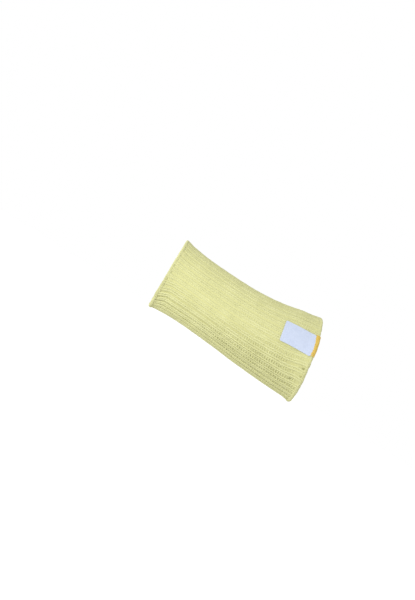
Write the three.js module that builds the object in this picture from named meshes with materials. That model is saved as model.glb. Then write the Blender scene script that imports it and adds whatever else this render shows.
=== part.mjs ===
// A cut-resistant wristband: a rib-knit tube worn from the wrist to the middle of the forearm,
// with a rolled welt at each end and a cloth label oversewn to the elbow end.
//
// The tube lies along X, with the wrist at -X and the elbow at +X. The thumb side is +Z, and the
// palm side, which carries the label, is -Y. The origin is on the forearm's axis at mid length.
// Sizes are in millimetres, and angles run round the forearm from the palm side to the thumb side.
import * as THREE from "three";

// Knit tube
const LENGTH = 180; // rim to rim along the forearm's axis
const RIB_COUNT = 36;
const POINTS_PER_RIB = 3; // one on the ridge, two on the floor of the groove
const RIDGE_HEIGHT = 0.6; // ridge above groove
const WALL_THICKNESS = 2.2; // the corrugated wall, measured across it
const TUBE_BANDS = 16; // bands of faces from welt to welt
const GAP = 0.3; // between neighbouring pieces

// Rims: how far the thumb side of each rim lies from its mean place, towards the hand
const WRIST_LEAN = 1;
const ELBOW_LEAN = 8.8;

// Welts
const WELT_LENGTH = 4;
const WELT_PROUD = 0.9; // above the ridges
const WELT_SWELL = 0.9; // further out where the rim rolls over, on the little-finger side
const WELT_SIDES = 72;

// Label and the overedge stitching that holds it
const LABEL_LENGTH = 36;
const LABEL_WIDTH = 24;
const LABEL_THICKNESS = 1;
const LABEL_ANGLE = 22; // degrees from the palm side's middle to the label's middle
const LABEL_TILT = 3; // degrees that its elbow end is sewn lower than the ribs' line
const LABEL_FACES = 8; // faces along and across
const STITCH_THICKNESS = 1;
const STITCH_WIDTH = 25.6; // along the rim
const STITCH_DROP = 1.3; // how much lower than the label's middle it is
const STITCH_STEPS = 8;

// The worn shape over the ridges, one row for each section of the forearm.
// at: distance from the wrist's rim; height: thumb side to little-finger side;
// depth: palm side to back; rise: the section's middle above the straight axis
const SECTIONS = [
  { at: -2, height: 81.7, depth: 61, rise: 0.2 },
  { at: 11, height: 80.2, depth: 61, rise: -0.9 },
  { at: 30, height: 77.0, depth: 61.5, rise: -1.6 },
  { at: 60, height: 76.8, depth: 63.5, rise: -2.8 },
  { at: 90, height: 78.8, depth: 68, rise: -3.9 },
  { at: 110, height: 82.0, depth: 72.5, rise: -4.1 },
  { at: 130, height: 86.2, depth: 77, rise: -3.2 },
  { at: 150, height: 91.8, depth: 82, rise: -1.5 },
  { at: 170, height: 94.9, depth: 86, rise: -0.5 },
  { at: 192, height: 96.4, depth: 88.5, rise: 0.3 },
];

// Soft dents and swells of the worn cloth, one row for each.
// at: distance from the wrist's rim; angle: place round the forearm, in degrees;
// height: out of the wall, or into it where negative; reach: along; spread: round, in degrees
const FOLDS = [
  { at: 13, angle: -36, height: -0.9, reach: 8, spread: 22 },
  { at: 29, angle: -36, height: 0.5, reach: 11, spread: 24 },
  { at: 104, angle: -48, height: -0.5, reach: 30, spread: 8 },
  { at: 157, angle: -14, height: -0.6, reach: 12, spread: 14 },
];

// Where the ribs leave their straight course next to a rim, one row for each stretch.
// turn: how far the ribs are turned round at the rim, in degrees; angle and spread: which ribs, in
// degrees; from and to: where the turn starts and where it is full, from the wrist's rim
const DRIFTS = [
  { turn: -7.5, angle: -40, spread: 34, from: 15, to: 1 },
  { turn: 6, angle: -8, spread: 36, from: 150, to: 180 },
];

const KNIT_COLOUR = 0xdfdfa0;
const WELT_COLOUR = 0xe3e1b2;
const LABEL_COLOUR = 0xe6eaf5;
const STITCH_COLOUR = 0xe3b840;

const DEGREE = Math.PI / 180;

// The label's middle, from the wrist's rim: its elbow end stops just short of the stitching
const LABEL_MIDDLE = LENGTH - WELT_LENGTH - GAP - LABEL_LENGTH / 2;

// The straight tube that is shaped onto the forearm has its ridges at this radius
const STRAIGHT_RADIUS = 100;

// A smooth hump, 1 at its middle
function hump(distance, spread) {
  return Math.exp(-((distance / spread) ** 2));
}

// The turn from angle b to angle a, the short way round
function turnBetween(a, b) {
  return Math.atan2(Math.sin(a - b), Math.cos(a - b));
}

// A section's height, depth and rise at a distance from the wrist's rim, smooth from row to row
function sectionAt(at) {
  const last = SECTIONS.length - 2;
  let row = SECTIONS.findLastIndex((section) => section.at <= at);
  row = THREE.MathUtils.clamp(row, 0, last);
  const start = SECTIONS[row];
  const end = SECTIONS[row + 1];
  const before = SECTIONS[Math.max(row - 1, 0)];
  const after = SECTIONS[Math.min(row + 2, last + 1)];
  const span = end.at - start.at;
  const t = (at - start.at) / span;
  const blend = (column) => {
    const slopeIn = ((end[column] - before[column]) / (end.at - before.at)) * span;
    const slopeOut = ((after[column] - start[column]) / (after.at - start.at)) * span;
    return (
      start[column] * (2 * t ** 3 - 3 * t ** 2 + 1) +
      slopeIn * (t ** 3 - 2 * t ** 2 + t) +
      end[column] * (3 * t ** 2 - 2 * t ** 3) +
      slopeOut * (t ** 3 - t ** 2)
    );
  };
  return { height: blend("height"), depth: blend("depth"), rise: blend("rise") };
}

// How far the ribs are turned round the forearm at a place
function driftAt(along, angle) {
  let turn = 0;
  for (const drift of DRIFTS) {
    const share = THREE.MathUtils.clamp((along - drift.from) / (drift.to - drift.from), 0, 1);
    const near = hump(turnBetween(angle, drift.angle * DEGREE), drift.spread * DEGREE);
    turn += drift.turn * DEGREE * near * THREE.MathUtils.smoothstep(share, 0, 1);
  }
  return turn;
}

// How far the folds lift the wall at a place
function foldAt(along, angle) {
  let lift = 0;
  for (const fold of FOLDS) {
    const near = hump(turnBetween(angle, fold.angle * DEGREE), fold.spread * DEGREE);
    lift += fold.height * near * hump(along - fold.at, fold.reach);
  }
  return lift;
}

// A point of the worn cloth: along from the wrist's rim, an angle round, a height over the ridges
function wornPoint(along, angle, height) {
  const share = along / LENGTH;
  const up = Math.sin(angle);
  const wristRim = -WRIST_LEAN * up;
  const elbowRim = LENGTH - ELBOW_LEAN * up;
  const at = THREE.MathUtils.lerp(wristRim, elbowRim, share);
  const section = sectionAt(at);
  const lift = height + foldAt(along, angle);
  return new THREE.Vector3(
    at - LENGTH / 2,
    -(section.depth / 2 + lift) * Math.cos(angle),
    section.rise + (section.height / 2 + lift) * up,
  );
}

// Moves every vertex of a geometry to the place that a function gives for it
function reshape(geometry, place) {
  const position = geometry.attributes.position;
  const vertex = new THREE.Vector3();
  for (let i = 0; i < position.count; i += 1) {
    vertex.fromBufferAttribute(position, i);
    position.setXYZ(i, ...place(vertex).toArray());
  }
  geometry.computeVertexNormals();
  return geometry;
}

// Turns a closed profile of (height over the ridges, distance along) into a straight ring, and
// wears it: settle gives the worn height of a point from its along, angle and straight height
function wornRing(profile, sides, settle) {
  const outline = profile.map(([height, along]) => new THREE.Vector2(STRAIGHT_RADIUS + height, along));
  const ring = new THREE.LatheGeometry([...outline, outline[0]], sides);
  return reshape(ring, (vertex) => {
    const angle = Math.atan2(vertex.x, vertex.z);
    const height = Math.hypot(vertex.x, vertex.z) - STRAIGHT_RADIUS;
    const worn = angle + driftAt(vertex.y, angle);
    return wornPoint(vertex.y, worn, settle(vertex.y, angle, height));
  });
}

// The rib-knit tube: ridges and grooves run along it, outside and in
function knitTube() {
  const start = WELT_LENGTH + GAP;
  const span = LENGTH - 2 * start;
  const crowding = 0.1; // draws the bands together near the welts, where the ribs drift
  const stations = Array.from({ length: TUBE_BANDS + 1 }, (_, band) => {
    const t = band / TUBE_BANDS;
    return start + span * (t - crowding * Math.sin(2 * Math.PI * t));
  });
  const inner = stations.map((along) => [-WALL_THICKNESS, along]);
  const outer = stations.toReversed().map((along) => [0, along]);
  return wornRing([...inner, ...outer], RIB_COUNT * POINTS_PER_RIB, (along, angle, height) => {
    const groove = 1 - Math.max(0, Math.cos(RIB_COUNT * angle));
    return height - RIDGE_HEIGHT * groove;
  });
}

// A welt: a rounded ring that stands proud of the ridges, most where the rim rolls over
function welt(start) {
  const inside = -(WALL_THICKNESS + RIDGE_HEIGHT);
  const middle = (WELT_PROUD + inside) / 2;
  const shoulder = 0.8; // how far the flat sides stop short of the corners
  const end = start + WELT_LENGTH;
  const profile = [
    [inside, start + shoulder],
    [inside, end - shoulder],
    [middle, end],
    [WELT_PROUD - shoulder, end],
    [WELT_PROUD, end - shoulder],
    [WELT_PROUD, start + shoulder],
    [WELT_PROUD - shoulder, start],
    [middle, start],
  ];
  return wornRing(profile, WELT_SIDES, (along, angle, height) => {
    const rolled = Math.max(0, -Math.sin(angle)) ** 2;
    const outward = (height - inside) / (WELT_PROUD - inside);
    return height + WELT_SWELL * rolled * outward;
  });
}

// Wears a flat piece whose x runs along the forearm, y round it and z out of the cloth
function wornPatch(geometry) {
  const middle = LABEL_ANGLE * DEGREE;
  return reshape(geometry, (vertex) => {
    const { height, depth } = sectionAt(vertex.x);
    const roundRadius = Math.hypot((depth / 2) * Math.sin(middle), (height / 2) * Math.cos(middle));
    const lowered = (vertex.x - LABEL_MIDDLE) * Math.tan(LABEL_TILT * DEGREE);
    return wornPoint(vertex.x, middle + (vertex.y - lowered) / roundRadius, vertex.z);
  });
}

// The label: a thin cloth that lies over the ridges, up to the stitching
function label() {
  const cloth = new THREE.BoxGeometry(
    LABEL_LENGTH, LABEL_WIDTH, LABEL_THICKNESS, LABEL_FACES, LABEL_FACES, 1,
  );
  cloth.translate(LABEL_MIDDLE, 0, GAP + LABEL_THICKNESS / 2);
  return wornPatch(cloth);
}

// The overedge stitching: a hooked strip that passes over the elbow welt from outside to inside
function labelStitching() {
  const top = WELT_PROUD + GAP;
  const bottom = -(WALL_THICKNESS + RIDGE_HEIGHT) - GAP;
  const foot = LENGTH - WELT_LENGTH;
  const rim = LENGTH + GAP;
  const hook = new THREE.Shape([
    new THREE.Vector2(foot, top + STITCH_THICKNESS),
    new THREE.Vector2(foot, top),
    new THREE.Vector2(rim, top),
    new THREE.Vector2(rim, bottom),
    new THREE.Vector2(foot, bottom),
    new THREE.Vector2(foot, bottom - STITCH_THICKNESS),
    new THREE.Vector2(rim + STITCH_THICKNESS, bottom - STITCH_THICKNESS),
    new THREE.Vector2(rim + STITCH_THICKNESS, top + STITCH_THICKNESS),
  ]);
  const strip = new THREE.ExtrudeGeometry(hook, {
    depth: STITCH_WIDTH, steps: STITCH_STEPS, bevelEnabled: false,
  });
  strip.translate(0, 0, -STITCH_WIDTH / 2);
  strip.rotateX(Math.PI / 2);
  strip.translate(0, -STITCH_DROP, 0);
  return wornPatch(strip);
}

function piece(name, geometry, color, roughness) {
  const material = new THREE.MeshStandardMaterial({ color, roughness, metalness: 0 });
  const mesh = new THREE.Mesh(geometry, material);
  mesh.name = name;
  return mesh;
}

const wristband = new THREE.Group();
wristband.add(
  piece("knit_sleeve", knitTube(), KNIT_COLOUR, 0.95),
  piece("wrist_welt", welt(0), WELT_COLOUR, 0.95),
  piece("elbow_welt", welt(LENGTH - WELT_LENGTH), WELT_COLOUR, 0.95),
  piece("label", label(), LABEL_COLOUR, 0.6),
  piece("label_stitching", labelStitching(), STITCH_COLOUR, 0.7),
);

export default wristband;
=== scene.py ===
# %% [markdown]
# # A knitted cut-resistant wristband
#
# The wristband is a tube of thick yellow yarn, knitted in ribs, with a narrow wrist end and a wider elbow
# end. Each end is a rolled welt, oversewn with the same yarn. A small white label lies on the front, at
# the elbow end, and golden overedge stitches hold it to the rim.
#
# The solid model gives the worn shape. This lesson dresses it: every row of knitting is a real closed
# loop of yarn, so the ribs, the ladders between them and the small dark gaps come from the mesh.

# %% Load the frame
import math

import bpy
import numpy as np
from mathutils import Matrix, Vector


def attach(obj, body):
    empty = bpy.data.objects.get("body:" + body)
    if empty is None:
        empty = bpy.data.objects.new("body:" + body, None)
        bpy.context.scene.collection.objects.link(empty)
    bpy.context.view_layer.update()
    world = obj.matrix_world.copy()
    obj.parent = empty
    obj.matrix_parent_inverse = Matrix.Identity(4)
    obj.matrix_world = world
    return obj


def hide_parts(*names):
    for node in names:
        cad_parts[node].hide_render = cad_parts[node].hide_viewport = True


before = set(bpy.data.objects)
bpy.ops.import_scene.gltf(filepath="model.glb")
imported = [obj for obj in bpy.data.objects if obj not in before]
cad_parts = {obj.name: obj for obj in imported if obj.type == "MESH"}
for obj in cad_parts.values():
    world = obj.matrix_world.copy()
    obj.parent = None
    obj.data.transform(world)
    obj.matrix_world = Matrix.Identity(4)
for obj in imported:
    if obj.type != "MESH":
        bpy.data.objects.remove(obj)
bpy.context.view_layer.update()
print("solids:", sorted(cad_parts))

MM = 0.001

# %% [markdown]
# ## Camera
#
# In the picture the tube lies aslant, with its wrist end at the upper left. The model keeps it level
# along X, so the camera is rolled instead. It stands about a metre away, square to the front and a little
# towards the wrist end, which gives the rims their slight bulge.

# %% Place the camera
PICTURE_WIDTH, PICTURE_HEIGHT = 415, 600
METRES_PER_PIXEL = 1.097 * MM  # at the tube's axis
CAMERA_DISTANCE = 1.0
CAMERA_TURN = math.radians(2)
CAMERA_ROLL = math.radians(32.3)
CAMERA_REACH = 50
MIDDLE_PIXEL_X, MIDDLE_PIXEL_Y = 237.0, 316.2  # where the tube's middle shows

forward = Vector((math.sin(CAMERA_TURN), math.cos(CAMERA_TURN), 0))
level_right = Vector((math.cos(CAMERA_TURN), -math.sin(CAMERA_TURN), 0))
level_up = Vector((0, 0, 1))
camera_right = level_right * math.cos(CAMERA_ROLL) + level_up * math.sin(CAMERA_ROLL)
camera_up = level_up * math.cos(CAMERA_ROLL) - level_right * math.sin(CAMERA_ROLL)
camera_place = (
    -forward * CAMERA_DISTANCE
    - camera_right * (MIDDLE_PIXEL_X - PICTURE_WIDTH / 2) * METRES_PER_PIXEL
    - camera_up * (PICTURE_HEIGHT / 2 - MIDDLE_PIXEL_Y) * METRES_PER_PIXEL
)
bpy.ops.object.select_all(action="DESELECT")
bpy.ops.object.camera_add(location=camera_place)
camera = bpy.context.object
turned = Matrix((camera_right, camera_up, -forward)).transposed()
camera.matrix_world = Matrix.Translation(camera_place) @ turned.to_4x4()
camera.data.lens = camera.data.sensor_width * CAMERA_DISTANCE / (METRES_PER_PIXEL * PICTURE_HEIGHT)
camera.data.clip_end = CAMERA_REACH
bpy.context.scene.camera = camera
print("lens, mm:", round(camera.data.lens, 1))

# %% [markdown]
# ## Light and floor
#
# The picture is lit softly and almost evenly, on plain white. A world that is white to the camera, and a
# little dimmer as a light, gives the even part and hides where the floor ends. One area light towards the
# wrist end, near the camera's own height, grazes the ribs and adds the gentle fall-off on the underside.
#
# The wristband is held up as it is when worn, so the floor lies well below it. Far from the lamp a white
# floor shows grey, so it glows there. Under the object it doesn't, or the cloth's underside would be too
# bright.

# %% Light the room
ROOM_LIGHT = 0.85

bpy.context.scene.view_settings.view_transform = "Standard"
world = bpy.data.worlds.new("studio")
world.use_nodes = True
world_tree = world.node_tree
room = world_tree.nodes["Background"]
room.inputs["Color"].default_value = (1, 1, 1, 1)
room_path = world_tree.nodes.new("ShaderNodeLightPath")
room_share = world_tree.nodes.new("ShaderNodeMapRange")
room_share.inputs["To Min"].default_value = ROOM_LIGHT
world_tree.links.new(room_path.outputs["Is Camera Ray"], room_share.inputs["Value"])
world_tree.links.new(room_share.outputs["Result"], room.inputs["Strength"])
bpy.context.scene.world = world
print("room light:", ROOM_LIGHT)

# %% Place the key light
KEY_SIZE = 0.45
KEY_POWER = 4.35
KEY_PLACE = Vector((-0.58, -0.58, 0.07))

bpy.ops.object.light_add(type="AREA", location=KEY_PLACE)
key_light = bpy.context.object
key_light.data.size = KEY_SIZE
key_light.data.energy = KEY_POWER
key_light.rotation_euler = (-KEY_PLACE).to_track_quat("-Z", "Y").to_euler()
print("key light's distance, m:", round(KEY_PLACE.length, 2))

# %% Lay the floor
FLOOR_DROP = 0.8
FLOOR_SIZE = 40

bpy.ops.mesh.primitive_plane_add(size=FLOOR_SIZE, location=(0, 0, -FLOOR_DROP))
floor = bpy.context.object
floor.name = "studio_floor"
print("floor below the object, m:", FLOOR_DROP)

# %% Whiten the floor
FLOOR_WHITE = 0.68
FLOOR_GLOW = 0.58
GLOW_START, GLOW_FULL = 0.4, 1.05  # distances from the floor's middle

floor_finish = bpy.data.materials.new("pale floor")
floor_finish.use_nodes = True
floor_tree = floor_finish.node_tree
floor_shader = floor_tree.nodes["Principled BSDF"]
floor_place = floor_tree.nodes.new("ShaderNodeTexCoord")
floor_reach = floor_tree.nodes.new("ShaderNodeVectorMath")
floor_reach.operation = "LENGTH"
floor_glow = floor_tree.nodes.new("ShaderNodeMapRange")
floor_glow.interpolation_type = "SMOOTHSTEP"
floor_glow.inputs["From Min"].default_value = GLOW_START
floor_glow.inputs["From Max"].default_value = GLOW_FULL
floor_glow.inputs["To Max"].default_value = FLOOR_GLOW
floor_tree.links.new(floor_place.outputs["Object"], floor_reach.inputs[0])
floor_tree.links.new(floor_reach.outputs["Value"], floor_glow.inputs["Value"])
floor_tree.links.new(floor_glow.outputs["Result"], floor_shader.inputs["Emission Strength"])
floor_shader.inputs["Base Color"].default_value = (FLOOR_WHITE, FLOOR_WHITE, FLOOR_WHITE, 1)
floor_shader.inputs["Roughness"].default_value = 1.0
floor_shader.inputs["Specular IOR Level"].default_value = 0.0
floor_shader.inputs["Emission Color"].default_value = (1, 1, 1, 1)
floor.data.materials.append(floor_finish)
print("finish:", floor_finish.name)

# %% [markdown]
# ## The worn shape
#
# The worn tube is an oval that changes along its length, so a short table of sections describes it. Every
# piece is laid out flat first, as distance along the tube, angle round it and height over the ribs, and
# one function then puts each of its points in place. A lattice could bend flat pieces too, but a formula
# keeps every stitch its own size. The drifts and soft folds are the solids' own, so the ribs bend where
# they meet the slanted rim.

# %% Describe the worn shape
LENGTH = 180 * MM
WRIST_LEAN = 1 * MM
ELBOW_LEAN = 8.8 * MM
RIB_COUNT = 36
WELT_LENGTH = 4 * MM
FULL_TURN = 2 * np.pi

# One row for each section: distance from the wrist rim, height, depth, rise of the middle, in mm
SECTIONS = np.array([
    (-2, 81.7, 61, 0.2),
    (11, 80.2, 61, -0.9),
    (30, 77.0, 61.5, -1.6),
    (60, 76.8, 63.5, -2.8),
    (90, 78.8, 68, -3.9),
    (110, 82.0, 72.5, -4.1),
    (130, 86.2, 77, -3.2),
    (150, 91.8, 82, -1.5),
    (170, 94.9, 86, -0.5),
    (192, 96.4, 88.5, 0.3),
]) * MM

# One row for each soft fold: distance from the wrist rim, angle, height, reach, spread (angles in degrees)
FOLDS = [
    (13 * MM, -36, -0.9 * MM, 8 * MM, 22),
    (29 * MM, -36, 0.5 * MM, 11 * MM, 24),
    (104 * MM, -48, -0.5 * MM, 30 * MM, 8),
    (157 * MM, -14, -0.6 * MM, 12 * MM, 14),
]

# One row for each drift of the ribs: turn, angle and spread in degrees, where it starts, where it is full
DRIFTS = [
    (-7.5, -40, 34, 15 * MM, 1 * MM),
    (6, -8, 36, 150 * MM, 180 * MM),
]

print("sections of the tube:", len(SECTIONS))
print("soft folds:", len(FOLDS))

# %% Join the sections smoothly
def section_at(at):
    """Height, depth and rise of the tube's section, smooth from row to row."""
    last = len(SECTIONS) - 2
    row = np.clip(np.searchsorted(SECTIONS[:, 0], at, side="right") - 1, 0, last)
    start, end = SECTIONS[row], SECTIONS[row + 1]
    before = SECTIONS[np.maximum(row - 1, 0)]
    after = SECTIONS[np.minimum(row + 2, last + 1)]
    span = end[..., :1] - start[..., :1]
    t = (np.asarray(at)[..., None] - start[..., :1]) / span
    slope_in = (end - before) / (end[..., :1] - before[..., :1]) * span
    slope_out = (after - start) / (after[..., :1] - start[..., :1]) * span
    smooth = (
        start * (2 * t**3 - 3 * t**2 + 1)
        + slope_in * (t**3 - 2 * t**2 + t)
        + end * (3 * t**2 - 2 * t**3)
        + slope_out * (t**3 - t**2)
    )
    return smooth[..., 1], smooth[..., 2], smooth[..., 3]


middle_height, middle_depth = section_at(LENGTH / 2)[:2]
print("height and depth at the middle, mm:", round(middle_height / MM, 1), round(middle_depth / MM, 1))

# %% Bend the ribs and fold the cloth
RIMS = {"wrist": 0.0, "elbow": LENGTH}


def hump(distance, spread):
    """A soft bump of height 1."""
    return np.exp(-((distance / spread) ** 2))


def turn_between(angle, other):
    """The turn from the other angle to this one, the short way round."""
    return np.arctan2(np.sin(angle - other), np.cos(angle - other))


def drift_at(along, angle):
    """How far the ribs are turned round the tube at a place."""
    turn = np.zeros_like(along * angle)
    for degrees, middle, spread, first, full in DRIFTS:
        share = np.clip((along - first) / (full - first), 0, 1)
        near = hump(turn_between(angle, math.radians(middle)), math.radians(spread))
        turn = turn + math.radians(degrees) * near * share**2 * (3 - 2 * share)
    return turn


def fold_at(along, angle):
    """How far the soft folds lift the cloth at a place."""
    lift = np.zeros_like(along * angle)
    for middle, degrees, height, reach, spread in FOLDS:
        near = hump(turn_between(angle, math.radians(degrees)), math.radians(spread))
        lift = lift + height * near * hump(along - middle, reach)
    return lift


round_the_tube = np.linspace(0, FULL_TURN, 361)  # every degree
for rim, rim_along in RIMS.items():
    rim_drift = np.abs(drift_at(rim_along, round_the_tube)).max()
    print("most drift at the", rim + ", degrees:", round(math.degrees(rim_drift), 1))

# %% Put points on the worn tube
def worn_points(along, angle, height):
    """Points of the worn cloth, from distance along, angle round and height over the ribs."""
    along, angle, height = np.broadcast_arrays(along, angle, height)
    up = np.sin(angle)
    wrist_rim = -WRIST_LEAN * up
    elbow_rim = LENGTH - ELBOW_LEAN * up
    at = wrist_rim + (elbow_rim - wrist_rim) * along / LENGTH
    tall, deep, rise = section_at(at)
    lift = height + fold_at(along, angle)
    across = -(deep / 2 + lift) * np.cos(angle)
    return np.stack([at - LENGTH / 2, across, rise + (tall / 2 + lift) * up], axis=-1)


def ribbed_points(along, angle, height):
    """The same, for what follows the ribs where they drift."""
    return worn_points(along, angle + drift_at(along, angle), height)


def path_length(points):
    """How long a path of points is."""
    return np.linalg.norm(np.diff(points, axis=0), axis=1).sum()


for rim, rim_along in RIMS.items():
    rim_girth = path_length(worn_points(rim_along, round_the_tube, 0.0))
    print("girth at the", rim + ", mm:", round(rim_girth / MM))

# %% [markdown]
# ## Small holes
#
# Near the elbow rim the oversewing pulls at the cloth, and a few stitches gape. A hole could be cut with
# a boolean, but yarn isn't cut there, it moves aside. So the places round a hole are pushed away from its
# middle, and the ground of the cloth sinks into a pit behind it, which leaves a small dark spot.

# %% Pull the small holes
# One row for each hole: distance from the wrist rim, angle in degrees, radius
HOLES = [
    (174.7 * MM, -17.0, 1.15 * MM),
    (174.9 * MM, -27.9, 0.65 * MM),
    (166.0 * MM, -35.3, 0.6 * MM),
]
HOLE_REACH = 2.4 * MM
HOLE_GIRTH_RADIUS = 45 * MM  # turns an angle into a distance there
PIT_STEEPNESS = 3  # depth of a pit, in radii of its hole
PIT_REACH = 1.6 * MM


def from_hole(hole, along, angle):
    """How far a place is from a hole's middle, along the tube and round it."""
    middle, degrees, _ = hole
    return along - middle, turn_between(angle, math.radians(degrees)) * HOLE_GIRTH_RADIUS


def pulled_apart(along, angle):
    """Moves places away from the small holes."""
    for hole in HOLES:
        along_it, round_it = from_hole(hole, along, angle)
        distance = np.hypot(along_it, round_it)
        radius = hole[-1]
        push = radius * hump(distance, HOLE_REACH) / np.maximum(distance, radius / 4)
        along = along + along_it * push
        angle = angle + round_it * push / HOLE_GIRTH_RADIUS
    return along, angle


def pit_at(along, angle):
    """How deep the cloth's ground sinks in the small holes."""
    pits = [hole[-1] * hump(np.hypot(*from_hole(hole, along, angle)), PIT_REACH) for hole in HOLES]
    return PIT_STEEPNESS * np.max(pits, axis=0)


print("small holes:", len(HOLES))

# %% [markdown]
# ## Finishes
#
# Loose fibres cover the cloth's ground like felt. Their finish is fine noise between two shades of
# yellow, with painted shade in it: darker where the cloth is drawn tight and little light gets between the
# stitches. A number that is stored on the mesh later says how tight that is. A painted image could do the
# same, but noise stays sharp close up.

# %% Start the finish of the loose fibres and their painted shade
CLOTH_SPECULAR = 0.2
SHEEN_ROUGHNESS = 0.6


def finish_nodes(name, roughness, sheen):
    """A new material, with its node tree and its shader."""
    finish = bpy.data.materials.new(name)
    finish.use_nodes = True
    tree = finish.node_tree
    shader = tree.nodes["Principled BSDF"]
    shader.inputs["Roughness"].default_value = roughness
    shader.inputs["Specular IOR Level"].default_value = CLOTH_SPECULAR
    shader.inputs["Sheen Weight"].default_value = sheen
    shader.inputs["Sheen Roughness"].default_value = SHEEN_ROUGHNESS
    return finish, tree, shader


ground_finish, ground_tree, ground_shader = finish_nodes("loose fibres with painted shade", roughness=1.0, sheen=0.05)
print("finish:", ground_finish.name)

# %% Colour the loose fibres and paint the shade in their gaps
# The dark end of these colours is painted shade, for the gaps of tight cloth.
FIBRE_AND_SHADE_COLOURS = [(0.0, (0.40, 0.39, 0.17)), (0.6, (0.60, 0.595, 0.285))]
FELT_SCALE, FELT_DETAIL = 1800, 4
TIGHT_PAINTED_SHADE = -0.4  # how far tight cloth goes down the colours


def math_node(tree, operation, *values):
    """A math node fed by sockets or plain numbers."""
    node = tree.nodes.new("ShaderNodeMath")
    node.operation = operation
    for socket, value in zip(node.inputs, values):
        if isinstance(value, bpy.types.NodeSocket):
            tree.links.new(value, socket)
        else:
            socket.default_value = value
    return node.outputs["Value"]


def noise_node(tree, vector, scale, detail=3):
    """Soft noise, with about as many blotches in a unit of the vector as the scale says."""
    node = tree.nodes.new("ShaderNodeTexNoise")
    node.inputs["Scale"].default_value = scale
    node.inputs["Detail"].default_value = detail
    tree.links.new(vector, node.inputs["Vector"])
    return node.outputs["Fac"]


def ramp_node(tree, factor, stops):
    """A colour ramp from rows of (place, colour)."""
    node = tree.nodes.new("ShaderNodeValToRGB")
    while len(node.color_ramp.elements) < len(stops):
        node.color_ramp.elements.new(1.0)
    for element, (place, colour) in zip(node.color_ramp.elements, stops):
        element.position = place
        element.color = (*colour, 1)
    tree.links.new(factor, node.inputs["Fac"])
    return node.outputs["Color"]


ground_coordinates = ground_tree.nodes.new("ShaderNodeTexCoord")
painted_shade_mark = ground_tree.nodes.new("ShaderNodeAttribute")
painted_shade_mark.attribute_name = "tightness"
felt = noise_node(ground_tree, ground_coordinates.outputs["Object"], FELT_SCALE, FELT_DETAIL)
# Painted shade: the tighter the cloth, the further down the colours the fibres go.
felt_and_painted_shade = math_node(ground_tree, "MULTIPLY_ADD", painted_shade_mark.outputs["Fac"], TIGHT_PAINTED_SHADE, felt)
felt_and_shade_colour = ramp_node(ground_tree, felt_and_painted_shade, FIBRE_AND_SHADE_COLOURS)
ground_tree.links.new(felt_and_shade_colour, ground_shader.inputs["Base Color"])
print("nodes of the loose fibres with painted shade:", len(ground_tree.nodes))

# %% [markdown]
# ## The yarn's finish
#
# The yarn is spun from short yellow fibres and twisted from two plies. Its colour varies a little from
# place to place, and the twist shows as fine slanted lines along each strand. Plain noise would lie
# across the strands. A strand made from a curve comes with a UV map that runs along it and round it, so
# the twist is drawn there and follows every loop.

# %% Spin the yarns
PLIES = 2
FIBRES_ROUND = 2.5
FIBRES_PER_METRE = 400
BLOTCHES_PER_METRE = 70
FIBRE_SHADE, BLOTCH_SHADE, PLY_SHADE = 0.6, 0.4, 0.12  # how much of the colour each makes
DARK_STOP, PALE_STOP = 0.32, 0.68
FIBRE_RELIEF = 0.7  # as a share of the plies'


def yarn_finish(name, dark, pale, turns, twist_depth):
    """Twisted yarn: turns is how often each ply goes round in the strand's whole length."""
    finish, tree, shader = finish_nodes(name, roughness=0.9, sheen=0.05)
    place = tree.nodes.new("ShaderNodeTexCoord")
    strand = tree.nodes.new("ShaderNodeSeparateXYZ")
    body = tree.nodes.new("ShaderNodeSeparateXYZ")
    tree.links.new(place.outputs["UV"], strand.inputs["Vector"])
    tree.links.new(place.outputs["Object"], body.inputs["Vector"])

    run = math_node(tree, "MULTIPLY_ADD", strand.outputs["X"], turns, strand.outputs["Y"])
    twist = math_node(tree, "MULTIPLY", run, FULL_TURN)
    ply_wave = math_node(tree, "SINE", math_node(tree, "MULTIPLY", twist, PLIES))
    plies = math_node(tree, "MULTIPLY_ADD", ply_wave, 0.5, 0.5)

    fibre_place = tree.nodes.new("ShaderNodeCombineXYZ")
    round_it = math_node(tree, "MULTIPLY", math_node(tree, "SINE", twist), FIBRES_ROUND)
    across = math_node(tree, "MULTIPLY", math_node(tree, "COSINE", twist), FIBRES_ROUND)
    shift = math_node(tree, "MULTIPLY", body.outputs["X"], FIBRES_PER_METRE)
    along = math_node(tree, "MULTIPLY_ADD", strand.outputs["X"], turns, shift)
    for socket, value in zip(fibre_place.inputs, (round_it, across, along)):
        tree.links.new(value, socket)
    fibre = noise_node(tree, fibre_place.outputs["Vector"], 1)
    blotch = noise_node(tree, place.outputs["Object"], BLOTCHES_PER_METRE)

    blotches = math_node(tree, "MULTIPLY", blotch, BLOTCH_SHADE)
    mixed = math_node(tree, "MULTIPLY_ADD", fibre, FIBRE_SHADE, blotches)
    evened = math_node(tree, "SUBTRACT", mixed, PLY_SHADE / 2)
    shade = math_node(tree, "MULTIPLY_ADD", plies, PLY_SHADE, evened)
    colour = ramp_node(tree, shade, [(DARK_STOP, dark), (PALE_STOP, pale)])
    tree.links.new(colour, shader.inputs["Base Color"])

    relief = math_node(tree, "MULTIPLY_ADD", fibre, FIBRE_RELIEF, plies)
    bump = tree.nodes.new("ShaderNodeBump")
    bump.inputs["Strength"].default_value = 1.0
    bump.inputs["Distance"].default_value = twist_depth
    tree.links.new(relief, bump.inputs["Height"])
    tree.links.new(bump.outputs["Normal"], shader.inputs["Normal"])
    return finish


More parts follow.
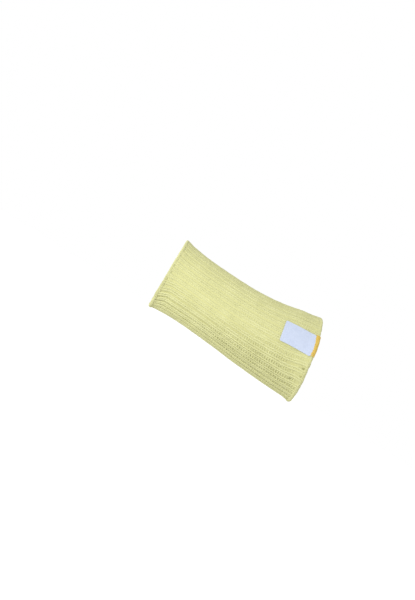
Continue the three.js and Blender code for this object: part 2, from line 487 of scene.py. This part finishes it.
knit_finish = yarn_finish(
    "knit yarn", dark=(0.505, 0.503, 0.236), pale=(0.64, 0.638, 0.337), turns=150, twist_depth=0.16 * MM
)
welt_finish = yarn_finish(
    "welt yarn", dark=(0.52, 0.515, 0.246), pale=(0.65, 0.645, 0.346), turns=500, twist_depth=0.10 * MM
)
thread_finish = yarn_finish(
    "golden thread", dark=(0.53, 0.355, 0.053), pale=(0.765, 0.57, 0.155), turns=90, twist_depth=0.08 * MM
)
print("finishes:", [finish.name for finish in (knit_finish, welt_finish, thread_finish)])

# %% [markdown]
# ## The rib knit
#
# One strand of yarn makes one row: it runs round the tube, and at every needle it rises into a loop that
# the next row is pulled through. In a rib, loops are pulled to the front and to the back in turn. The
# front loops show as pairs of legs, the ridges, and the back loops show only their heads, the rungs of a
# ladder.
#
# Where the cloth is slack, on the upper side and at the wrist end, the ridges are fat and close over the
# ladders, so only a faint line is left between two of them. Where it is stretched, on the underside, the
# ridges are thin, the ladders open, and dark gaps show between the rungs.
#
# A stitch could be modelled once and arrayed, but a worn tube stretches unevenly, and the yarn would be
# squashed with it. So the strand's path is worked out with sines for a whole row, put on the worn tube,
# and only then given its thickness by a curve's bevel. The rows are grouped in five pieces to keep each
# mesh light.

# %% Count the rows and ribs
ROWS = 63
KNIT_START = 2.4 * MM  # the first row lies under the welt
UNEVEN_PULL = 0.25  # how unevenly the ladders are pulled open
PULL_REACH = 9  # over how many rows
SEED = 11

row_pitch = (LENGTH - 2 * KNIT_START) / ROWS
dice = np.random.default_rng(SEED)
pulled = dice.normal(0, UNEVEN_PULL, (2 * RIB_COUNT, ROWS + PULL_REACH - 1))
pulled = np.array([np.convolve(loops, np.ones(PULL_REACH), "valid") for loops in pulled])
pulled = pulled / PULL_REACH**0.5
print("rows:", ROWS, "ribs:", RIB_COUNT, "row pitch, mm:", round(row_pitch / MM, 2))

# %% Work out how hard the cloth is drawn
WRIST_PULL, ELBOW_PULL = 0.15, 0.38  # at the rims, as a share of the middle's
WRIST_PULL_REACH, ELBOW_PULL_START = 70 * MM, 140 * MM
WRIST_SLACK, ELBOW_SLACK = -0.25, 0.4  # height, in radii, over which the cloth is slack
SLACK_START, SLACK_END = 50 * MM, 140 * MM  # where that height changes
FULL_PULL = -0.9  # height, in radii, under which the cloth is drawn most


def between(start, end, share):
    """A value part of the way from the start to the end."""
    return start + (end - start) * share


def eased(value, start, end):
    """A soft step from 0 at the start to 1 at the end."""
    share = np.clip((value - start) / (end - start), 0, 1)
    return share**2 * (3 - 2 * share)


def tightness(along, angle):
    """How hard the cloth is drawn: most on the underside, and less at both ends."""
    wrist_end = between(WRIST_PULL, 1, eased(along, 0, WRIST_PULL_REACH))
    elbow_end = between(1, ELBOW_PULL, eased(along, ELBOW_PULL_START, LENGTH))
    slack_over = between(WRIST_SLACK, ELBOW_SLACK, eased(along, SLACK_START, SLACK_END))
    return eased(np.sin(angle), slack_over, FULL_PULL) * wrist_end * elbow_end


for degrees in (45, 0, -45):
    drawn_there = tightness(LENGTH / 2, math.radians(degrees))
    print("tightness at", degrees, "degrees:", round(float(drawn_there), 2))

# %% Open the ladders and deepen the creases
FIRST_LADDER, LAST_LADDER = 0.05 * ROWS, 0.45 * ROWS  # rows over which the ladders open
WELT_RISE = 0.75 * MM

# One row for each crease: angle and spread in degrees, full up to, gone by, share of the depth
CREASES = [
    (-38, 26, 15 * MM, 50 * MM, 0.6),
    (-78, 22, LENGTH, 1.1 * LENGTH, 1.4),
]


def welt_rise(along):
    """How far the cloth comes up to meet the welts."""
    return WELT_RISE * (1 - eased(np.minimum(along, LENGTH - along), WELT_LENGTH, 3 * WELT_LENGTH))


def creased(along, angle):
    """How deep the grooves are where the cloth is pushed together, as a share of the creases' depth."""
    depth = np.zeros_like(along * angle)
    for degrees, spread, full_to, gone_by, share in CREASES:
        near = hump(turn_between(angle, math.radians(degrees)), math.radians(spread))
        depth = np.maximum(depth, share * near * (1 - eased(along, full_to, gone_by)))
    return depth


def ladder_opening(row, loop):
    """How far the ladders between the ridges are pulled open: unevenly, and least at the wrist end."""
    angle = FULL_TURN * loop / 2 / RIB_COUNT
    pull = tightness(row_pitch * row, angle) + pulled[loop % (2 * RIB_COUNT), row]
    return np.clip(pull, 0, 1) * eased(row, FIRST_LADDER, LAST_LADDER)


last_openings = ladder_opening(ROWS - 1, np.arange(2 * RIB_COUNT))
print("ladders open at the elbow rim:", int((last_openings[1::2] > 0).sum()), "of", RIB_COUNT)

# %% Choose the sizes of a stitch
WALE_WIDTH = 4.5 * MM  # of a stretched ridge, whose ladder takes the rest of the rib
LOOSE_SHARE = 0.72  # of the rib, that a loose ridge takes
LEG_RADIUS = 0.82 * MM
LOOSE_LEG_SHARE = 0.21  # radius of a loose leg, as a share of the rib
RUNG_RADIUS, LOOSE_RUNG_RADIUS = 0.64 * MM, 0.6 * MM
LOOP_REACH, LOOSE_LOOP_REACH = 0.95, 1.0  # how far a loop rises and dips from its row, in rows
LOOSE_TAPER = 0.4  # under 1 keeps a loose leg thick towards its ends
RUNG_LIFT, LOOSE_RUNG_LIFT = 0.6 * MM, -0.4 * MM  # how far the rungs come up
RUNGS_OUT = 0.4  # how far a ladder is open when its rungs are up
LOOP_FLATNESS = 0.65  # under 1 makes the heads broad
LOOP_WAIST = 0.085  # how much wider a loop's head is than its foot, in ribs
CLOTH_MIDDLE = -1.64 * MM
HEAD_DEPTH = 0.25 * MM  # how far the heads lie behind the cloth's middle
STEPS_PER_LOOP = 14
SLACK = 0.08  # how unevenly the loops are drawn
CREASE_DEPTH = 0.7 * MM

print("radius of a drawn leg, mm:", round(LEG_RADIUS / MM, 2))
print("radius of a drawn rung, mm:", round(RUNG_RADIUS / MM, 2))

# %% Follow the yarn of every row
def squared(value, flatness):
    """Fills out a circle's sine or cosine towards a rounded square."""
    return np.sign(value) * np.abs(value) ** flatness


def loop_room(row, loop, rib_width):
    """Where a loop starts and how wide it is, in ribs from its middle, and how far it is drawn open."""
    openings = [ladder_opening(row, loop + step) for step in (-1, 0, 1)]
    before, own, after = [between(LOOSE_SHARE, WALE_WIDTH / rib_width, opening) for opening in openings]
    is_front = loop % 2 == 0
    start = np.where(is_front, -own / 2, before / 2 - 0.5)
    end = np.where(is_front, own / 2, 0.5 - after / 2)
    return start, end - start, openings[1]


def row_path(row):
    """The strand of one row, round the whole tube, with its radius as a share of the rungs'."""
    loop = np.arange(2 * RIB_COUNT)[:, None]
    phase = np.arange(STEPS_PER_LOOP) / STEPS_PER_LOOP * FULL_TURN
    is_front = loop % 2 == 0
    row_middle = KNIT_START + row_pitch * (row + 0.5)
    tall, deep, _ = section_at(row_middle)
    rib_width = FULL_TURN * (tall + deep) / 4 / RIB_COUNT
    start, width, opening = loop_room(row, loop, rib_width)
    drawn = dice.normal(0, SLACK, (3, len(loop), 1)).clip(-2 * SLACK, 2 * SLACK)

    # How near each point is to the loop's head, to a leg and to a rung
    raised = np.sin(phase / 2) ** 2
    behind = between(np.sin(phase) ** 2, np.sin(phase) ** 4, opening)
    leg = np.where(is_front, np.sin(phase) ** 2, behind)
    rung = (1 - leg) * np.where(is_front, 1 - raised, 1)

    # Along the tube and round it
    reach = between(LOOSE_LOOP_REACH, LOOP_REACH, opening)
    flatness = np.where(is_front, LOOP_FLATNESS, between(1, LOOP_FLATNESS, opening))
    rise = -reach * squared(np.cos(phase), flatness) * (1 + drawn[0] * raised)
    waist = 2 * LOOP_WAIST * np.sin(2 * phase) + 0.5 * drawn[1] * raised
    sway = start + width * (phase / FULL_TURN + waist)
    along = row_middle + row_pitch * rise
    angle = FULL_TURN * (loop / 2 + sway) / RIB_COUNT

    # In front of the cloth's middle or behind it
    leg_radius = between(LOOSE_LEG_SHARE * rib_width, LEG_RADIUS, opening)
    head_depth = HEAD_DEPTH * np.where(is_front, 1, opening)
    front = (-CLOTH_MIDDLE - leg_radius) * leg - head_depth * raised**4
    height = CLOTH_MIDDLE + np.where(is_front, front, -front) * (1 + drawn[2])
    height = height + between(LOOSE_RUNG_LIFT, RUNG_LIFT, eased(opening, 0, RUNGS_OUT)) * rung
    height = height + welt_rise(along) - CREASE_DEPTH * creased(along, angle) * (1 - leg)

    # Fat on a front leg and thin on a rung
    rung_radius = between(LOOSE_RUNG_RADIUS, RUNG_RADIUS, opening)
    fullness = leg ** between(LOOSE_TAPER, 1, opening)
    radius = between(rung_radius, np.where(is_front, leg_radius, rung_radius), fullness)

    along, angle = pulled_apart(along, angle)
    return ribbed_points(along, angle, height).reshape(-1, 3), (radius / RUNG_RADIUS).ravel()


row_paths = [row_path(row) for row in range(ROWS)]
yarn_length = sum(path_length(points) for points, _ in row_paths)
print("yarn in the rows, m:", round(yarn_length, 1))

# %% Give the yarn its thickness
def strand_piece(name, paths, radius, finish, closed=True):
    """A mesh of round strands that follow the given paths of points and shares of the radius."""
    curve = bpy.data.curves.new(name, "CURVE")
    curve.dimensions = "3D"
    curve.bevel_depth = radius
    curve.bevel_resolution = 1
    curve.use_fill_caps = not closed
    for points, shares in paths:
        spline = curve.splines.new("POLY")
        spline.points.add(len(points) - 1)
        spline.points.foreach_set("co", np.column_stack([points, np.ones(len(points))]).ravel())
        spline.points.foreach_set("radius", np.broadcast_to(shares, len(points)).copy())
        spline.use_cyclic_u = closed
    strands = bpy.data.objects.new(name, curve)
    bpy.context.scene.collection.objects.link(strands)
    bpy.ops.object.select_all(action="DESELECT")
    strands.select_set(True)
    bpy.context.view_layer.objects.active = strands
    bpy.ops.object.convert(target="MESH")
    strands = bpy.context.object
    bpy.ops.object.shade_smooth()
    strands.data.materials.clear()
    strands.data.materials.append(finish)
    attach(strands, "root")
    print(name, "triangles:", 2 * len(strands.data.polygons))
    return strands


group_names = ["knit_rows_" + place for place in ("wrist", "lower", "middle", "upper", "elbow")]
for group_name, rows in zip(group_names, np.array_split(np.arange(ROWS), len(group_names))):
    piece = strand_piece(group_name, [row_paths[row] for row in rows], RUNG_RADIUS, knit_finish)
    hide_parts("knit_sleeve")

# %% [markdown]
# ## The ground of the cloth
#
# Yarn is hairy, and its loose fibres fill the gaps between the front loops and the back loops. Thousands
# of hairs would be heavy, so a thin sheet that waves between the two layers stands for them. It is a flat
# grid, rolled up into the worn tube, merged along the seam and given its thickness by a Solidify
# modifier.

# %% Add a flat grid
GROUND_STEPS_PER_RIB = 6
GROUND_ROWS = 64

bpy.ops.object.select_all(action="DESELECT")
bpy.ops.mesh.primitive_grid_add(
    x_subdivisions=RIB_COUNT * GROUND_STEPS_PER_RIB, y_subdivisions=GROUND_ROWS, size=1
)
ground = bpy.context.object
ground.name = "knit_ground"
print("points of the flat grid:", len(ground.data.vertices))

# %% Roll up the grid
GROUND_LIFT, LOOSE_GROUND_LIFT = 0.1 * MM, 0.8 * MM  # over the cloth's middle
GROUND_WAVE, LOOSE_GROUND_WAVE = 0.15 * MM, 0.08 * MM
WELT_GROUND_LIFT = 0.95 * MM  # next to a welt the cloth is packed
CREASED_GROUND = 1.3 * MM


def reshape(piece, place):
    """Moves every vertex of a piece to where a function of all of them puts it."""
    points = np.empty(3 * len(piece.data.vertices))
    piece.data.vertices.foreach_get("co", points)
    piece.data.vertices.foreach_set("co", place(points.reshape(-1, 3)).ravel())
    piece.data.update()
    print(piece.name, "points placed:", len(piece.data.vertices))


def ground_place(points):
    """Where the points of the flat grid lie on the worn tube."""
    along = WELT_LENGTH / 2 + (LENGTH - WELT_LENGTH) * (points[:, 1] + 0.5)
    angle = FULL_TURN * (points[:, 0] + 0.5)
    tight = tightness(along, angle)
    lift = between(LOOSE_GROUND_LIFT, GROUND_LIFT, tight)
    wave = between(LOOSE_GROUND_WAVE, GROUND_WAVE, tight)
    packed = 1 - eased(np.minimum(along, LENGTH - along), WELT_LENGTH, 2 * WELT_LENGTH)
    lift = between(lift, WELT_GROUND_LIFT, packed) + welt_rise(along)
    lift = lift - CREASED_GROUND * creased(along, angle) - pit_at(along, angle)
    return ribbed_points(along, angle, CLOTH_MIDDLE + lift + wave * np.cos(RIB_COUNT * angle))


reshape(ground, ground_place)

# %% Close the seam and thicken the ground
GROUND_THICKNESS = 0.3 * MM
SEAM_GAP = 0.01 * MM


def edit_all(*steps):
    """Runs edit-mode operators on the whole active mesh."""
    bpy.ops.object.mode_set(mode="EDIT")
    bpy.ops.mesh.select_all(action="SELECT")
    for step in steps:
        step()
    bpy.ops.object.mode_set(mode="OBJECT")


def thicken(piece, thickness, offset):
    """Gives a sheet its thickness."""
    wall = piece.modifiers.new("wall", "SOLIDIFY")
    wall.thickness = thickness
    wall.offset = offset
    bpy.ops.object.modifier_apply(modifier=wall.name)


edit_all(
    lambda: bpy.ops.mesh.remove_doubles(threshold=SEAM_GAP),
    lambda: bpy.ops.mesh.normals_make_consistent(inside=False),
)
thicken(ground, GROUND_THICKNESS, 0)
bpy.ops.object.shade_smooth()
print("triangles of the ground:", 2 * len(ground.data.polygons))

# %% Mark where the ground is drawn tight
ground_points = np.empty(3 * len(ground.data.vertices))
ground.data.vertices.foreach_get("co", ground_points)
ground_along = ground_points[0::3] + LENGTH / 2
ground_angle = np.arctan2(ground_points[2::3], -ground_points[1::3])
ground_tightness = tightness(ground_along, ground_angle).astype(np.float32)
# This mark drives the painted shade in the ground's colour.
tight_mark = ground.data.attributes.new("tightness", "FLOAT", "POINT")
tight_mark.data.foreach_set("value", ground_tightness)
ground.data.materials.append(ground_finish)
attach(ground, "root")
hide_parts("knit_sleeve")
print("mean tightness of the ground:", round(float(ground_tightness.mean()), 2))

# %% [markdown]
# ## The welts
#
# At each end the cloth is rolled over and oversewn, so the rim is a soft round cord that stands a little
# proud, most on the underside. Under the thread lies the rolled cloth, a torus reshaped to the rim. The
# thread is one long helix round it. A plain torus with a bump could stand for both, but its outline would
# be too smooth.

# %% Shape the welts
WELT_PROUD = 0.9 * MM  # over the ribs
WELT_SWELL = 0.9 * MM  # more, on the underside
WALL_DEPTH = 2.8 * MM
WELT_FLATNESS = 0.75  # under 1 squares the section
WELT_WAVER = 0.12 * MM  # of each of three waves round the rim
MOST_WAVER = 3 * WELT_WAVER  # the rim stays this much short of the tube's end
SLOW_WAVES, QUICK_WAVES, QUICKEST_WAVES = 7, 16, 25

# The middle of each welt along the tube, and the way from there to the cloth
WELTS = {"wrist": (WELT_LENGTH / 2, 1), "elbow": (LENGTH - WELT_LENGTH / 2, -1)}


def welt_points(end, angle, turn, inset, room=0.0, bite=1.0):
    """Points round a welt's section, inset from its surface. A quarter turn faces the cloth.

    Room is what lies on the welt, and bite is how far the cloth's side reaches, as a share of the welt's.
    """
    middle, inward = WELTS[end]
    slow = np.sin(SLOW_WAVES * angle + middle / MM)
    waver = WELT_WAVER * (slow + np.sin(QUICK_WAVES * angle) + np.sin(QUICKEST_WAVES * angle))
    outer = WELT_PROUD + WELT_SWELL * np.maximum(0, -np.sin(angle)) ** 2 + room - inset + waver / 2
    inner = inset - WALL_DEPTH
    side = squared(np.sin(turn), WELT_FLATNESS)
    along = middle + inward * (WELT_LENGTH / 2 - inset) * side * np.where(side > 0, bite, 1)
    along = along + inward * (waver + MOST_WAVER)
    height = (outer + inner) / 2 + (outer - inner) / 2 * squared(np.cos(turn), WELT_FLATNESS)
    return ribbed_points(along, angle, height)


welt_girths = {end: path_length(welt_points(end, round_the_tube, 0.0, 0.0)) for end in WELTS}
print("girth of the welts, mm:", {end: round(girth / MM) for end, girth in welt_girths.items()})

# %% Roll the edges
OVERSEW_RADIUS = 0.5 * MM
ROLL_INSET = 1.3 * OVERSEW_RADIUS
ROLL_SIDES, ROLL_FACETS = 180, 16
ROLL_THICKNESS = 0.25  # of a torus of radius 1, before it is reshaped


def rolled_cloth(end):
    """The rolled edge under the oversewing."""
    bpy.ops.object.select_all(action="DESELECT")
    bpy.ops.mesh.primitive_torus_add(
        major_segments=ROLL_SIDES, minor_segments=ROLL_FACETS, major_radius=1, minor_radius=ROLL_THICKNESS
    )
    roll = bpy.context.object
    roll.name = end + "_rolled_edge"

    def place(points):
        angle = np.arctan2(points[:, 1], points[:, 0])
        turn = np.arctan2(points[:, 2], np.hypot(points[:, 0], points[:, 1]) - 1)
        return welt_points(end, angle, turn, ROLL_INSET)

    reshape(roll, place)
    edit_all(lambda: bpy.ops.mesh.normals_make_consistent(inside=False))
    bpy.ops.object.shade_smooth()
    roll.data.materials.append(ground_finish)
    print(roll.name, "triangles:", 2 * len(roll.data.polygons))
    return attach(roll, "root")


for end in WELTS:
    piece = rolled_cloth(end)
    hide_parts(end + "_welt")

# %% Oversew the edges
OVERSEW_PITCH = 1.05 * MM
OVERSEW_SLANT = 0.9 * MM
UNEVEN_BITE = 0.12  # how unevenly the stitches reach into the cloth
MOST_BITE = 0.2
STEPS_PER_WRAP = 14


def oversewing(end):
    """The thread that goes over and over the rolled edge."""
    wraps = round(welt_girths[end] / OVERSEW_PITCH)
    turn = np.arange(wraps * STEPS_PER_WRAP) / STEPS_PER_WRAP * FULL_TURN
    uneven = dice.normal(0, UNEVEN_BITE, wraps).clip(-MOST_BITE, MOST_BITE)
    bite = np.repeat(1 + uneven, STEPS_PER_WRAP)
    slant = OVERSEW_SLANT / welt_girths[end] * FULL_TURN * np.sin(turn)
    points = welt_points(end, turn / wraps + slant, turn, OVERSEW_RADIUS, bite=bite)
    print(end, "wraps:", wraps)
    return strand_piece(end + "_oversewing", [(points, 1.0)], OVERSEW_RADIUS, welt_finish)


for end in WELTS:
    piece = oversewing(end)
    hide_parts(end + "_welt")

# %% [markdown]
# ## The label
#
# The label is a short piece of white satin tape. It spans the ribs, lifts a little at its free corners,
# and its sewn end goes up over the welt under the stitches. A cloth simulation could drop it on the ribs,
# but a label this small and stiff barely drapes, so a grid is laid on the tube and thickened.

# %% Lay the label
LABEL_START, LABEL_END = 139.2 * MM, 176.6 * MM
LABEL_WIDTH = 24 * MM
LABEL_THICKNESS = 0.35 * MM
LABEL_ANGLE = math.radians(21.4)
LABEL_TILT = math.radians(1.6)
LABEL_MIDDLE = 157.7 * MM
LABEL_REST = 0.2 * MM  # over the ribs
LABEL_LIFT = 0.7 * MM  # at the free corners
CORNER_RADIUS, SEWN_CORNER_RADIUS = 1.2 * MM, 3.5 * MM
CLIMB_START, CLIMB_END = LENGTH - 3 * WELT_LENGTH, LENGTH - 0.8 * WELT_LENGTH  # up over the welt
LABEL_COLUMNS, LABEL_ROWS = 60, 40
SHARP_EDGE = math.radians(40)


def label_angles(along, across):
    """The angle of a place on the label, which is sewn a little askew."""
    tall, deep, _ = section_at(along)
    radius = np.hypot(deep / 2 * math.sin(LABEL_ANGLE), tall / 2 * math.cos(LABEL_ANGLE))
    lowered = (along - LABEL_MIDDLE) * math.tan(LABEL_TILT)
    return LABEL_ANGLE + (across - lowered) / radius


def corner_trim(from_end, radius):
    """What a round corner takes off each side of the label, at a distance from its end."""
    inside = np.clip(radius - from_end, 0, radius)
    return radius - np.sqrt(radius**2 - inside**2)


def label_place(points):
    """Where the points of the flat label lie on the tube."""
    free = 0.5 - points[:, 0]
    along = LABEL_END - (LABEL_END - LABEL_START) * free
    free_trim = corner_trim(along - LABEL_START, CORNER_RADIUS)
    sewn_trim = corner_trim(LABEL_END - along, SEWN_CORNER_RADIUS)
    across = (LABEL_WIDTH - 2 * (free_trim + sewn_trim)) * points[:, 1]
    angle = label_angles(along, across)
    over_welt = eased(along, CLIMB_START, CLIMB_END)
    corner = np.clip(2 * free * np.abs(points[:, 1]), 0, 1) ** 4
    height = LABEL_REST + LABEL_LIFT * corner + WELT_PROUD * over_welt
    return worn_points(along, angle, height)


bpy.ops.object.select_all(action="DESELECT")
bpy.ops.mesh.primitive_grid_add(x_subdivisions=LABEL_COLUMNS, y_subdivisions=LABEL_ROWS, size=1)
label = bpy.context.object
label.name = "satin_label"
reshape(label, label_place)
thicken(label, LABEL_THICKNESS, 1)
bpy.ops.object.shade_smooth_by_angle(angle=SHARP_EDGE)
print("triangles of the label:", 2 * len(label.data.polygons))

# %% [markdown]
# ## The label's satin
#
# Satin tape is woven from fine threads that catch the light softly. Real threads would be far too many,
# so the weave is a bump of crossed sines, drawn on the grid's own UV map, with a trace of it in the
# colour.

# %% Weave the satin
SATIN_THREAD = 0.22 * MM
SATIN_RELIEF = 0.05 * MM
SATIN_BUMP = 0.4
SATIN_SHADE = 0.05  # the weave's trace in the colour
SATIN_BLOTCHES_PER_METRE = 180
SATIN_COLOURS = [(0.3, (0.485, 0.545, 0.685)), (0.7, (0.515, 0.575, 0.71))]

label_finish, label_tree, label_shader = finish_nodes("white satin", roughness=0.5, sheen=0.1)
label_coordinates = label_tree.nodes.new("ShaderNodeTexCoord")
satin = label_tree.nodes.new("ShaderNodeSeparateXYZ")
label_tree.links.new(label_coordinates.outputs["UV"], satin.inputs["Vector"])
warp_count = LABEL_WIDTH / SATIN_THREAD
weft_count = (LABEL_END - LABEL_START) / SATIN_THREAD
warp_angle = math_node(label_tree, "MULTIPLY", satin.outputs["Y"], FULL_TURN * warp_count)
weft_angle = math_node(label_tree, "MULTIPLY", satin.outputs["X"], FULL_TURN * weft_count)
warp = math_node(label_tree, "SINE", warp_angle)
weft = math_node(label_tree, "SINE", weft_angle)
weave = math_node(label_tree, "MULTIPLY_ADD", warp, weft, warp)
label_blotch = noise_node(label_tree, label_coordinates.outputs["Object"], SATIN_BLOTCHES_PER_METRE)
label_shade = math_node(label_tree, "MULTIPLY_ADD", weave, SATIN_SHADE, label_blotch)
label_colour = ramp_node(label_tree, label_shade, SATIN_COLOURS)
label_tree.links.new(label_colour, label_shader.inputs["Base Color"])
label_bump = label_tree.nodes.new("ShaderNodeBump")
label_bump.inputs["Strength"].default_value = SATIN_BUMP
label_bump.inputs["Distance"].default_value = SATIN_RELIEF
label_tree.links.new(weave, label_bump.inputs["Height"])
label_tree.links.new(label_bump.outputs["Normal"], label_shader.inputs["Normal"])
label.data.materials.append(label_finish)
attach(label, "root")
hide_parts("label")
print("threads of the satin:", round(warp_count), "by", round(weft_count))

# %% [markdown]
# ## The label's stitching
#
# Golden thread goes over the rim, through the label and the cloth, and over the rim again, so closely
# that it makes a solid band. A strip with a bump could stand for it, but the ends of the stitches show on
# the label. So it is a second helix round the elbow welt, a thread's width further out.

# %% Oversew the label
GOLD_RADIUS = 0.52 * MM
GOLD_PITCH = 1.02 * MM
GOLD_WIDTH = 26.6 * MM
GOLD_DROP = 1.8 * MM  # the stitches run on below the label
UNEVEN_GOLD = 0.2  # how unevenly the stitches reach in
GOLD_TAPER = 0.7  # how far the lowest stitches reach in, as a share of the highest

gold_wraps = round(GOLD_WIDTH / GOLD_PITCH)
gold_turn = np.linspace(0, gold_wraps * FULL_TURN, gold_wraps * STEPS_PER_WRAP + 1) - FULL_TURN / 2
gold_across = np.linspace(-0.5, 0.5, len(gold_turn)) * GOLD_WIDTH - GOLD_DROP
gold_along = np.full_like(gold_across, WELTS["elbow"][0])
gold_bite = np.repeat(1 + dice.uniform(-UNEVEN_GOLD, UNEVEN_GOLD, gold_wraps), STEPS_PER_WRAP)
gold_bite = np.append(gold_bite, gold_bite[-1]) * np.linspace(GOLD_TAPER, 1, len(gold_turn))
gold_points = welt_points(
    "elbow", label_angles(gold_along, gold_across), gold_turn, -GOLD_RADIUS, LABEL_THICKNESS, gold_bite
)
gold = strand_piece("label_overedge_thread", [(gold_points, 1.0)], GOLD_RADIUS, thread_finish, closed=False)
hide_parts("label_stitching")

# %% [markdown]
#
# The knit and the label are cloth, and each has a size when it is laid flat. The tube is about 95 mm wide
# and 180 mm long before it is put on, and then stretched to its worn girth. A simulation could stretch it,
# but every row lies in its worn place already.

print("flat label, mm:", round((LABEL_END - LABEL_START) / MM, 1), "by", round(LABEL_WIDTH / MM, 1))
